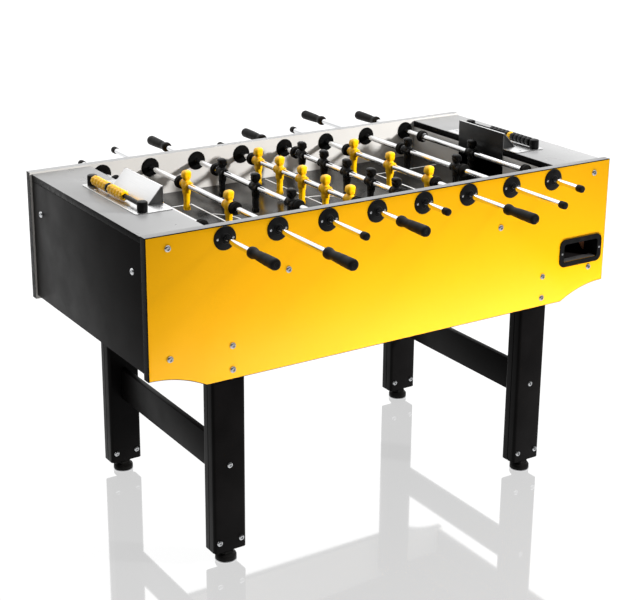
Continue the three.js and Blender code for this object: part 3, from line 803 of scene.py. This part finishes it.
class FOOSBALL_OT_legs(bpy.types.Operator):
    """Builds the grooved legs, their levelling feet and the stretchers."""

    bl_idname = "foosball.legs"
    bl_label = "Legs and Feet"

    def execute(self, context):
        _, sizes = settings()
        for end in ENDS:
            for name, side in SIDES.items():
                self.leg(name, side, end, sizes)
            low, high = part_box(f"stretcher_{end}")
            single(f"stretcher_board_{end}", "cabinet", "black_laminate", "leg_laminate",
                   block(low, high, 0.002), node=f"stretcher_{end}")
        return {"FINISHED"}

    def leg(self, name, side, end, sizes):
        """A post with a groove down each narrow face, its bolts, and its foot."""
        low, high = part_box(f"leg_{name}_{end}")
        half_x, half_y, foot_top, board_inside = 0.048, 0.027, 0.035, 0.3387
        middle = Vector(((low.x + high.x) / 2, side * (board_inside - half_y), 0))
        post = Piece(f"leg_post_{name}_{end}", "cabinet", "black_laminate", "leg_laminate", "bolt_steel")
        shape = self.grooved_section(half_x, half_y, foot_top)
        thicken(shape, (0, 0, high.z - foot_top))
        rims = [e for e in shape.edges if abs(e.verts[0].co.z - e.verts[1].co.z) < TOUCH]
        round_off(shape, rims, 0.0008, 2)
        post.add(shape, 0, Matrix.Translation(middle))
        for along, height in ((0, 0.281), (-0.032, 0.0635), (0.032, 0.0635)):
            for out in (-1, 1):
                bolt = domed_bolt(sizes.bolt_radius * 0.9, sizes.bolt_height * 0.9)
                place = middle + Vector((along, out * half_y, height))
                post.add(bolt, 1, pointing((0, out, 0), place))
        post.finish(f"leg_{name}_{end}", smooth=30)
        self.foot(f"foot_{name}_{end}", Matrix.Translation(middle), foot_top)

    def grooved_section(self, half_x, half_y, height):
        """The post's section, lying at its lower end."""
        shape = bmesh.new()
        slot, depth = 0.0014, 0.003
        corners = [(-half_x, -half_y), (half_x, -half_y), (half_x, -slot), (half_x - depth, -slot)]
        corners += [(half_x - depth, slot), (half_x, slot)]
        outline = corners + [(-x, -y) for x, y in corners]
        shape.faces.new([shape.verts.new((x, y, height)) for x, y in outline])
        rounded = [v for v in shape.verts if abs(abs(v.co.y) - half_y) < TOUCH]
        round_off(shape, rounded, 0.009, 6, "VERTICES")
        return shape

    def foot(self, name, place, top):
        """A levelling foot: rubber body, bright ring underneath and a six-sided nut."""
        foot = Piece(name, "cabinet", "black_laminate", "rubber", "foot_ring")
        body = [(0, 0.003), (0.0278, 0.003), (0.0285, 0.0045), (0.0285, 0.0125), (0.027, 0.0155)]
        body += [(0.0215, 0.0185), (0.0195, 0.021), (0.0195, 0.033), (0.0175, top), (0, top)]
        foot.add(turned(body), 0, place)
        ring = [(0, 0), (0.0285, 0), (0.029, 0.0008), (0.029, 0.0026), (0.0278, 0.0032), (0, 0.0032)]
        foot.add(turned(ring), 1, place)
        nut = [(0, 0.021), (0.0225, 0.021), (0.0235, 0.0225), (0.0235, 0.0275), (0.0225, 0.029), (0, 0.029)]
        foot.add(turned(nut, 6), 0, place)
        foot.finish(smooth=30)


class FOOSBALL_OT_bolts(bpy.types.Operator):
    """Builds the domed bolts that hold the side boards."""

    bl_idname = "foosball.bolts"
    bl_label = "Cabinet Bolts"

    def execute(self, context):
        _, sizes = settings()
        places = [(0.68, 0.901), (0.343, 0.79), (0.68, 0.619), (0.506, 0.619), (0.506, 0.555)]
        for name, side in SIDES.items():
            piece = Piece(f"cabinet_bolts_{name}", "cabinet", "chrome", "bolt_steel")
            for x, z in places:
                for mirrored in (-x, x):
                    bolt = domed_bolt(sizes.bolt_radius, sizes.bolt_height)
                    piece.add(bolt, 0, pointing((0, side, 0), (mirrored, outer_face(name), z)))
            piece.finish(smooth=40)
        return {"FINISHED"}


# ------------------------------------------------------------------ rods and figures


class FOOSBALL_OT_rods(bpy.types.Operator):
    """Builds the rods with their grips, end caps, collars and bumpers."""

    bl_idname = "foosball.rods"
    bl_label = "Rods"

    # A grip's radii and how far along it they lie, from its collar to its swollen end.
    GRIP = (
        (0.0118, 0), (0.0142, 0.0022), (0.0148, 0.006), (0.0148, 0.011), (0.0138, 0.0155),
        (0.0122, 0.021), (0.0116, 0.026), (0.0122, 0.034), (0.0131, 0.048), (0.0138, 0.066),
        (0.0143, 0.088), (0.0146, 0.1045), (0.0144, 0.1095), (0.0132, 0.1132),
    )

    def execute(self, context):
        for number in ROD_NUMBERS:
            x, z, side, body = rod_place(number)
            low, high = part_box(f"rod_{number}")
            reach = -low.y if side < 0 else high.y
            far = high.y if side < 0 else -low.y
            along = pointing((0, side, 0), (x, 0, z))
            bumper_low, bumper_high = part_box(f"bumper_{number}")
            stop = abs(bumper_low.y + bumper_high.y) / 2
            tube, cap = turned(self.tube_profile(-far + 0.004, reach - 0.01)), turned(self.cap_profile(far))
            single(f"tube_{number}", body, "chrome", "chrome", tube, along, f"rod_{number}")
            single(f"grip_{number}", body, "rubber", "rubber", self.grip(reach), along, smooth=50)
            single(f"end_cap_{number}", body, "rubber", "rubber", cap, along, smooth=50)
            collars = Piece(f"collars_{number}", body, "chrome", "chrome")
            fixed = Piece(f"bumper_capped_{number}", body, "rubber", "rubber")
            carrier = JOINTS[f"rod_{number}_slide"]["child"]
            loose = Piece(f"bumper_handle_{number}", carrier, "rubber", "rubber")
            turn_round = along @ Matrix.Rotation(math.pi, 4, "X")
            for ring, place, play in ((fixed, turn_round, 0.0001), (loose, along, 0.0009)):
                collars.add(turned(self.collar_profile(stop - 0.008)), 0, place)
                ring.add(turned(self.bumper_profile(stop - 0.008, ROD_RADIUS + play)), 0, place)
            collars.finish(smooth=40)
            fixed.finish(smooth=40)
            loose.finish(f"bumper_{number}", smooth=40)
        return {"FINISHED"}

    def tube_profile(self, start, end):
        edge = 0.001
        return [(0, start), (ROD_RADIUS - edge, start), (ROD_RADIUS, start + edge), (ROD_RADIUS, end - edge),
                (ROD_RADIUS - edge, end), (0, end)]

    def grip(self, reach):
        """A ribbed rubber grip that swells to its rounded end."""
        start = reach - 0.115
        profile = [(ROD_RADIUS + 0.0001, start)]
        profile += [(radius, start + along) for radius, along in self.GRIP]
        profile += [(0.0112, reach), (0.006, reach), (0.0052, reach - 0.001), (0, reach - 0.001)]
        shape = turned([(0, start), *profile], 48)
        ribbed = [v for v in shape.verts if start + 0.03 < v.co.z < reach - 0.008]
        flute([v for v in ribbed if v.co.xy.length > ROD_RADIUS + 0.001], 24, 0.016)
        return shape

    def cap_profile(self, far):
        inner = -far + 0.02
        return [(0, -far), (0.0072, -far), (0.0094, -far + 0.0012), (0.0102, -far + 0.004),
                (0.0102, inner - 0.003), (0.0096, inner), (ROD_RADIUS + 0.0001, inner), (0, inner)]

    def collar_profile(self, inner):
        bore, outer = ROD_RADIUS + 0.00005, 0.012
        back, front = inner - 0.006, inner - 0.0003
        return [(bore, back), (outer - 0.001, back), (outer, back + 0.001), (outer, inner - 0.0012),
                (outer - 0.001, front), (bore, front), (bore, back)]

    def bumper_profile(self, inner, bore):
        """A rubber ring with a groove round its middle."""
        outer, end = 0.018, inner + 0.016
        profile = [(bore, inner), (0.0155, inner), (0.0172, inner + 0.0008), (outer, inner + 0.0026)]
        profile += [(outer, inner + 0.0056), (0.0163, inner + 0.0072), (0.0163, inner + 0.0088)]
        profile += [(outer, inner + 0.0104), (outer, end - 0.0026), (0.0172, end - 0.0008), (0.0155, end)]
        return [*profile, (bore, end), (bore, inner)]


class FOOSBALL_OT_figures(bpy.types.Operator):
    """Builds the figures of both teams on their rods."""

    bl_idname = "foosball.figures"
    bl_label = "Figures"

    def execute(self, context):
        for number in ROD_NUMBERS:
            x, z, side, body = rod_place(number)
            team = "home" if side < 0 else "away"
            slot = "yellow_plastic" if side < 0 else "black_plastic"
            facing = Matrix.Identity(4) if side < 0 else Matrix.Rotation(math.pi, 4, "Z")
            for node in sorted(n for n in BODIES[body] if n.startswith("figure")):
                low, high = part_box(node)
                place = Matrix.Translation((x, (low.y + high.y) / 2, z)) @ facing
                player = Piece(node.replace("figure", "player"), body, slot, f"{team}_plastic")
                self.figure(player, place)
                player.finish(node, subdivide=1)
                hub = Piece(node.replace("figure", "hub"), body, slot, f"{team}_plastic", "bolt_steel")
                self.hub(hub, place)
                hub.finish(smooth=40)
        return {"FINISHED"}

    # Rings are height, middle, half depth, half width (all in millimetres) and squareness.
    BODY = (
        (-72, 0.2, 7.6, 8.0, 3), (-71.3, 0.4, 9.0, 9.2, 3), (-66, 0.6, 9.3, 9.6, 3),
        (-60.5, 0.3, 8.9, 9.3, 3), (-59, 0, 7.8, 8.6, 2), (-56, 0, 7.4, 8.5, 1.5),
        (-48, 0, 7.9, 9.0, 1.2), (-41, 0.2, 8.6, 9.6, 1.2),
        (-39.6, 0.2, 7.9, 9.0, 1.2), (-34, 0.3, 8.2, 9.4, 1.2), (-27.4, 0, 8.5, 9.9, 1.2),
        (-26.4, 0, 9.9, 11.4, 1.4), (-16, -0.6, 10.5, 12.2, 1.4), (-12, -0.5, 9.8, 11.5, 1.2),
        (-10.6, -0.5, 10.9, 12.6, 1.2), (-3, -0.6, 12.0, 14.2, 1.4), (5, -0.6, 12.2, 15.0, 1.5),
        (10.4, -0.3, 10.6, 13.4, 1.2), (13, 0, 8.4, 9.8, 0.8), (15, 0, 7.4, 7.8, 0.5), (17, 0, 7, 7.4, 0.5),
    )
    SKULL = (
        (13.6, 0.6, 6.2, 6.2, 1), (15.2, 0.7, 9.2, 8.8, 1.6), (18.5, 0.7, 11.2, 10.4, 1.8),
        (25, 0.6, 12.0, 11.0, 2), (32, 0.2, 11.6, 11.2, 2), (36, 0.6, 10.2, 10.2, 1.6),
        (38.6, 0.8, 5.6, 6, 1),
    )
    HAIR = (
        (20.5, -2.2, 10.2, 11.4, 2.2), (22, -1.6, 11.4, 12.2, 2.4), (26, -1.0, 12.0, 12.6, 2.4),
        (31, -0.1, 12.6, 12.8, 2.4), (35.2, 0.7, 12.0, 12.5, 2.2), (38.6, 1.5, 9.8, 10.6, 1.8),
        (40.4, 1.6, 6.0, 6.6, 1), (41, 1.6, 3, 3, 0.5),
    )
    NOSE = ((20.8, 0, 1.6, 1.8, 0.5), (22.4, 0, 2.6, 2.0, 0.5), (26.5, 0, 1.2, 1.2, 0))
    BROW = ((-7.6, 0, 0.8, 0.9, 0), (-4, 0, 1.3, 1.3, 0), (4, 0, 1.3, 1.3, 0), (7.6, 0, 0.8, 0.9, 0))
    EAR = ((20.5, 0, 1.2, 0.8, 0), (22.5, 0, 2.1, 1.2, 0), (25.6, 0, 2.3, 1.2, 0), (27, 0, 1.2, 0.8, 0))
    ARM = (
        (-21, 0, 2.2, 1.8, 0.4), (-19.4, 0, 3.2, 2.6, 0.6), (-15, 0, 3.6, 3.0, 0.6), (-11, 0, 3.2, 2.8, 0.4),
        (-4, 0, 4.0, 3.4, 0.4), (-3, 0, 4.9, 4.0, 0.4), (3, 0, 5.4, 4.2, 0.4), (8.5, 0, 5.0, 3.8, 0.4),
        (11.6, 0, 3.0, 2.4, 0.2),
    )

    def figure(self, player, place):
        """Boots, socks, shorts, shirt and head with its hair, face and arms, all facing +X."""
        shift, stay = Matrix.Translation, Matrix.Identity(4)
        parts = [(self.legs_parted(lofted(self.BODY)), stay), (lofted(self.SKULL), stay)]
        parts += [(self.ruffled(lofted(self.HAIR, 20)), stay)]
        parts += [(lofted(self.NOSE, 8), shift((0.0122, 0, 0)))]
        parts += [(lofted(self.BROW, 8), pointing((0, 1, 0), (0.0122, 0, 0.0275)))]
        parts += [(lofted(self.EAR, 8), shift((0.002, side * 0.0116, 0))) for side in (-1, 1)]
        parts += [(lofted(self.ARM, 10), shift((-0.0012, side * 0.0146, 0))) for side in (-1, 1)]
        for shape, move in parts:
            player.add(shape, 0, place @ move, close=False)

    def legs_parted(self, shape):
        """A shallow groove between the legs, front and back."""
        for vert in shape.verts:
            if -0.0665 < vert.co.z < -0.027 and abs(vert.co.y) < 0.001:
                vert.co.x *= 0.72
        return shape

    def ruffled(self, shape):
        """Lumpy hair, cut back over the face."""
        brow_z, hairline = 0.029, 0.005
        for vert in shape.verts:
            lump = math.sin(vert.co.y * 1300 + vert.co.z * 700) * math.cos(vert.co.x * 1100 - vert.co.z * 500)
            vert.co.xy *= 1 + 0.028 * lump
            if vert.co.x > hairline and vert.co.z < brow_z:
                vert.co.x = hairline + (vert.co.x - hairline) * 0.35
        return shape

    def hub(self, hub, place):
        """The sleeve round the rod, with the pin screw in the figure's back."""
        bore, reach = 0.00815, 0.0188
        profile = [(bore, -reach), (0.0112, -reach), (0.0121, -reach + 0.0009), (0.0121, -reach + 0.0042),
                   (0.0112, -reach + 0.005), (0.0112, reach - 0.005), (0.0121, reach - 0.0042),
                   (0.0121, reach - 0.0009), (0.0112, reach), (bore, reach), (bore, -reach)]
        hub.add(turned(profile), 0, place @ pointing((0, 1, 0), (0, 0, 0)))
        screw = domed_bolt(0.0026, 0.0012)
        hub.add(screw, 1, place @ pointing((-1, 0, 0), (-0.0106, 0.0, -0.0005)))


# ------------------------------------------------------------------ score counters


class FOOSBALL_OT_score_counters(bpy.types.Operator):
    """Builds the score counters: steel plate and housing, posts, rail and beads."""

    bl_idname = "foosball.score_counters"
    bl_label = "Score Counters"

    def execute(self, context):
        for name, side in ENDS.items():
            place = Matrix.Identity(4) if side > 0 else Matrix.Rotation(math.pi, 4, "Z")
            low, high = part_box(f"score_unit_{name}")
            inner, outer = (low.x, high.x) if side > 0 else (-high.x, -low.x)
            half = high.y
            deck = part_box(f"end_deck_{name}")[1].z
            self.housing(name, place, inner, outer, half, deck, high.z, low.z)
            self.beads(name, side)
        return {"FINISHED"}

    def housing(self, name, place, inner, outer, half, deck, top, bottom):
        """Base plate, goal plate, folded sheet with its cheeks, posts, rail and screws."""
        piece = Piece(f"counter_housing_{name}", "cabinet", "sheet_steel", "sheet_steel", "black_paint",
                      "bearing_nylon", "bolt_steel", "painted_shade_steel")
        shift = Matrix.Translation
        sheet, wide, base_top = 0.002, 0.105, deck + 0.0023
        base = plate(outer - inner - sheet, 2 * half, 0.008, sheet, 0.0004)
        piece.add(base, 0, place @ shift(((inner + sheet + outer) / 2, 0, deck + 0.0003)))
        front = block((inner, -wide, bottom), (inner + sheet, wide, top), 0.0005)
        bmesh.ops.recalc_face_normals(front, faces=front.faces)
        for face in front.faces:
            face.material_index = 1 if face.normal.x < -0.9 else 0
        piece.add(front, None, place, close=False)
        fold = block((inner + 0.0004, -wide, top - 0.003), (inner + 0.0068, wide, top), 0.0011, 3)
        piece.add(fold, 0, place)
        foot = inner + 0.046
        slope = [(inner + 0.0044, top - 0.0025), (foot - 0.0022, base_top), (foot, base_top),
                 (inner + 0.0066, top - 0.0008)]
        piece.add(prism(slope, 2 * wide, 0.0003), 0, place @ shift((0, -wide, 0)))
        cheek = [(inner + sheet, base_top), (foot - 0.004, base_top), (inner + 0.005, top - 0.003),
                 (inner + sheet, top - 0.003)]
        # The cheeks take the darker copy of the sheet steel: painted shade on the same steel.
        for y in (-wide + 0.0015, wide - 0.0015 - sheet):
            piece.add(prism(cheek, sheet, 0.0003), 4, place @ shift((0, y, 0)))
        beads_low, beads_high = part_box(f"score_beads_{name}_a")
        middle, post_y = (beads_low + beads_high) / 2, 0.149
        rail_x = abs(middle.x)
        for y in (-post_y, post_y):
            piece.add(self.post(), 2, place @ shift((rail_x, y, base_top)))
        rail = turned([(0, -post_y), (0.006, -post_y), (0.006, post_y), (0, post_y)])
        piece.add(rail, 2, place @ pointing((0, 1, 0), (rail_x, 0, middle.z)))
        for back, y in ((0.012, -0.1), (0.012, 0.1), (0.08, -0.15), (0.08, 0.15)):
            piece.add(domed_bolt(0.0042, 0.0014), 3, place @ shift((outer - back, y, base_top)))
        piece.finish(f"score_unit_{name}", smooth=35)

    def post(self):
        """A ribbed post that holds one end of the rail."""
        top = 0.028
        profile = [(0, 0), (0.0132, 0), (0.014, 0.0012), (0.014, top - 0.005), (0.0128, top - 0.002),
                   (0.0095, top - 0.0003), (0, top)]
        shape = turned(profile, 36)
        ribbed = [v for v in shape.verts if 0.001 < v.co.z < top - 0.003 and v.co.xy.length > 0.012]
        flute(ribbed, 9, 0.07)
        return shape

    def beads(self, name, side):
        """Two rows of five ribbed beads; the second row carries the spacer of the other colour."""
        own, other = ("away_plastic", "home_plastic") if side > 0 else ("home_plastic", "away_plastic")
        slot = "black_plastic" if side > 0 else "yellow_plastic"
        for row, body in (("a", f"beads_{name}_scored"), ("b", f"beads_{name}_waiting")):
            low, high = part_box(f"score_beads_{name}_{row}")
            middle = (low + high) / 2
            piece = Piece(f"beads_{name}_{row}", body, slot, own, other)
            start = low.y if side > 0 else high.y
            pitch, spacer, travelled = 0.017, 0.014, 0.0
            if row == "b":
                self.bead(piece, 1, middle, start + side * spacer / 2, spacer)
                travelled = spacer
            for index in range(5):
                self.bead(piece, 0, middle, start + side * (travelled + pitch * (index + 0.5)), pitch)
            piece.finish(f"score_beads_{name}_{row}", smooth=50)

    def bead(self, piece, finish, middle, y, width):
        """One ribbed bead on the rail."""
        half = width / 2 - 0.0002
        profile = [(0.0068, -half), (0.0108, -half), (0.0122, -half + 0.0009), (0.0136, -half + 0.0032)]
        profile += [(0.014, -half + 0.0055), (0.014, half - 0.0055), (0.0136, half - 0.0032)]
        profile += [(0.0122, half - 0.0009), (0.0108, half), (0.0068, half), (0.0068, -half)]
        shape = turned(profile, 36)
        flute([v for v in shape.verts if v.co.xy.length > 0.0115], 8, 0.1)
        piece.add(shape, finish, pointing((0, 1, 0), (middle.x, y, middle.z)))


# ------------------------------------------------------------------ studio


class FOOSBALL_OT_studio(bpy.types.Operator):
    """Makes the floor, the lights and the camera."""

    bl_idname = "foosball.studio"
    bl_label = "Studio"

    def execute(self, context):
        scene = context.scene
        scene.view_settings.view_transform = "Standard"
        self.floor(scene)
        self.sky(scene)
        # A soft lamp above, a hard one to the right, one for the rods, and a low one that only the front
        # board receives.
        self.lamp(scene, "top_light", (0.2, 0.9, 3.2), (0, 0.1, 0.9), (2.6, 2.6), 26)
        key = self.lamp(scene, "key_light", (3.1, -3.2, 2.35), (0, 0.1, 0.85), (0.35, 0.35), 400)
        self.keep_off(key, "side_board_front")
        rod_light = self.lamp(scene, "rod_light", (2.3, -2.1, 2.7), (0.4, -0.36, 0.8), (0.3, 0.3), 18)
        low = self.lamp(scene, "low_light", (0.4, -0.8, 0.04), (0.35, -0.36, 0.45), (1.9, 0.35), 27)
        key.visible_glossy = rod_light.visible_glossy = low.visible_glossy = False
        self.only_on(low, "side_board_front")
        self.camera(scene)
        return {"FINISHED"}

    def floor(self, scene):
        data = bpy.data.meshes.new("studio_floor")
        shape = bmesh.new()
        bmesh.ops.create_circle(shape, cap_ends=True, radius=30, segments=64)
        shape.to_mesh(data)
        shape.free()
        floor = bpy.data.objects.new("studio_floor", data)
        scene.collection.objects.link(floor)
        floor.location.z = -0.0005
        finish = Finish("floor_gloss", (0.06, 0.06, 0.06), 0.05, specular=1.0, coat=1.0, coat_roughness=0.04)
        finish.set(("IOR", 1.8), ("Emission Color", (1, 1, 1, 1)), ("Emission Strength", 0.66))
        finish.sheen_variation(0.01, 2)
        data.materials.append(finish.material)

    def sky(self, scene):
        world = bpy.data.worlds.new("studio_sky")
        scene.world = world
        world.use_nodes = True
        nodes, links = world.node_tree.nodes, world.node_tree.links
        seen, lit = nodes["Background"], nodes.new("ShaderNodeBackground")
        direction, facing = nodes.new("ShaderNodeTexCoord"), nodes.new("ShaderNodeVectorMath")
        facing.operation = "DOT_PRODUCT"
        facing.inputs[1].default_value = Vector((0.25, 0.6, 0.75)).normalized()
        links.new(direction.outputs["Generated"], facing.inputs[0])
        strength = map_range(nodes, links, facing.outputs["Value"], 0.0, 0.75, 0.05, 1.35)
        links.new(strength, lit.inputs["Strength"])
        seen.inputs["Color"].default_value = lit.inputs["Color"].default_value = (1, 1, 1, 1)
        path, mix = nodes.new("ShaderNodeLightPath"), nodes.new("ShaderNodeMixShader")
        links.new(path.outputs["Is Camera Ray"], mix.inputs["Fac"])
        links.new(lit.outputs["Background"], mix.inputs[1])
        links.new(seen.outputs["Background"], mix.inputs[2])
        links.new(mix.outputs["Shader"], nodes["World Output"].inputs["Surface"])

    def lamp(self, scene, name, place, target, size, power):
        light = bpy.data.lights.new(name, "AREA")
        light.shape, light.energy = "RECTANGLE", power
        light.size, light.size_y = size
        lamp = bpy.data.objects.new(name, light)
        lamp.location = place
        lamp.rotation_euler = (Vector(target) - Vector(place)).to_track_quat("-Z", "Y").to_euler()
        lamp.visible_camera = False
        scene.collection.objects.link(lamp)
        return lamp

    def keep_off(self, lamp, name):
        """The lamp passes over a piece, as behind a flag."""
        self.only_on(lamp, name).collection_objects[0].light_linking.link_state = "EXCLUDE"

    def only_on(self, lamp, name):
        """The lamp lights one piece alone."""
        lit = bpy.data.collections.new(f"{lamp.name}_receivers")
        lit.objects.link(bpy.data.objects[name])
        lamp.light_linking.receiver_collection = lit
        return lit

    def camera(self, scene):
        view = scene.foosball_view
        data = bpy.data.cameras.new("camera")
        camera = bpy.data.objects.new("camera", data)
        scene.collection.objects.link(camera)
        data.lens, data.sensor_width, data.shift_y = view.lens, 36.0, view.lift
        data.clip_end = 100
        turn, rise = view.turn, view.rise
        back = Vector((math.sin(turn) * math.cos(rise), -math.cos(turn) * math.cos(rise), math.sin(rise)))
        right = (-back).cross(Z_AXIS).normalized()
        up = right.cross(-back)
        basis = Matrix((right, up, back)).transposed() @ Matrix.Rotation(view.roll, 3, "Z")
        camera.matrix_world = Matrix.Translation(Vector(view.place)) @ basis.to_4x4()
        scene.camera = camera


# ------------------------------------------------------------------ panel and registration


BUILD_ORDER = (
    FOOSBALL_OT_finishes,
    FOOSBALL_OT_side_boards,
    FOOSBALL_OT_bearings,
    FOOSBALL_OT_end_boards,
    FOOSBALL_OT_playfield,
    FOOSBALL_OT_ball_return,
    FOOSBALL_OT_legs,
    FOOSBALL_OT_bolts,
    FOOSBALL_OT_rods,
    FOOSBALL_OT_figures,
    FOOSBALL_OT_score_counters,
    FOOSBALL_OT_studio,
)


class FOOSBALL_PT_builder(bpy.types.Panel):
    """Lists the table's builders and their settings."""

    bl_idname = "FOOSBALL_PT_builder"
    bl_label = "Foosball Table"
    bl_space_type = "VIEW_3D"
    bl_region_type = "UI"
    bl_category = "Foosball"

    def draw(self, context):
        layout, scene = self.layout, context.scene
        for operator in BUILD_ORDER:
            layout.operator(operator.bl_idname)
        for group in (scene.foosball_colours, scene.foosball_sizes, scene.foosball_view):
            box = layout.box()
            for name in group.__annotations__:
                box.prop(group, name)


CLASSES = (FoosballColours, FoosballSizes, FoosballView, *BUILD_ORDER, FOOSBALL_PT_builder)


def register():
    for cls in CLASSES:
        bpy.utils.register_class(cls)
    bpy.types.Scene.foosball_colours = PointerProperty(type=FoosballColours)
    bpy.types.Scene.foosball_sizes = PointerProperty(type=FoosballSizes)
    bpy.types.Scene.foosball_view = PointerProperty(type=FoosballView)


def unregister():
    del bpy.types.Scene.foosball_view
    del bpy.types.Scene.foosball_sizes
    del bpy.types.Scene.foosball_colours
    for cls in reversed(CLASSES):
        bpy.utils.unregister_class(cls)


def main():
    register()
    for operator in BUILD_ORDER:
        group, name = operator.bl_idname.split(".")
        getattr(getattr(bpy.ops, group), name)()


if __name__ == "__main__":
    main()
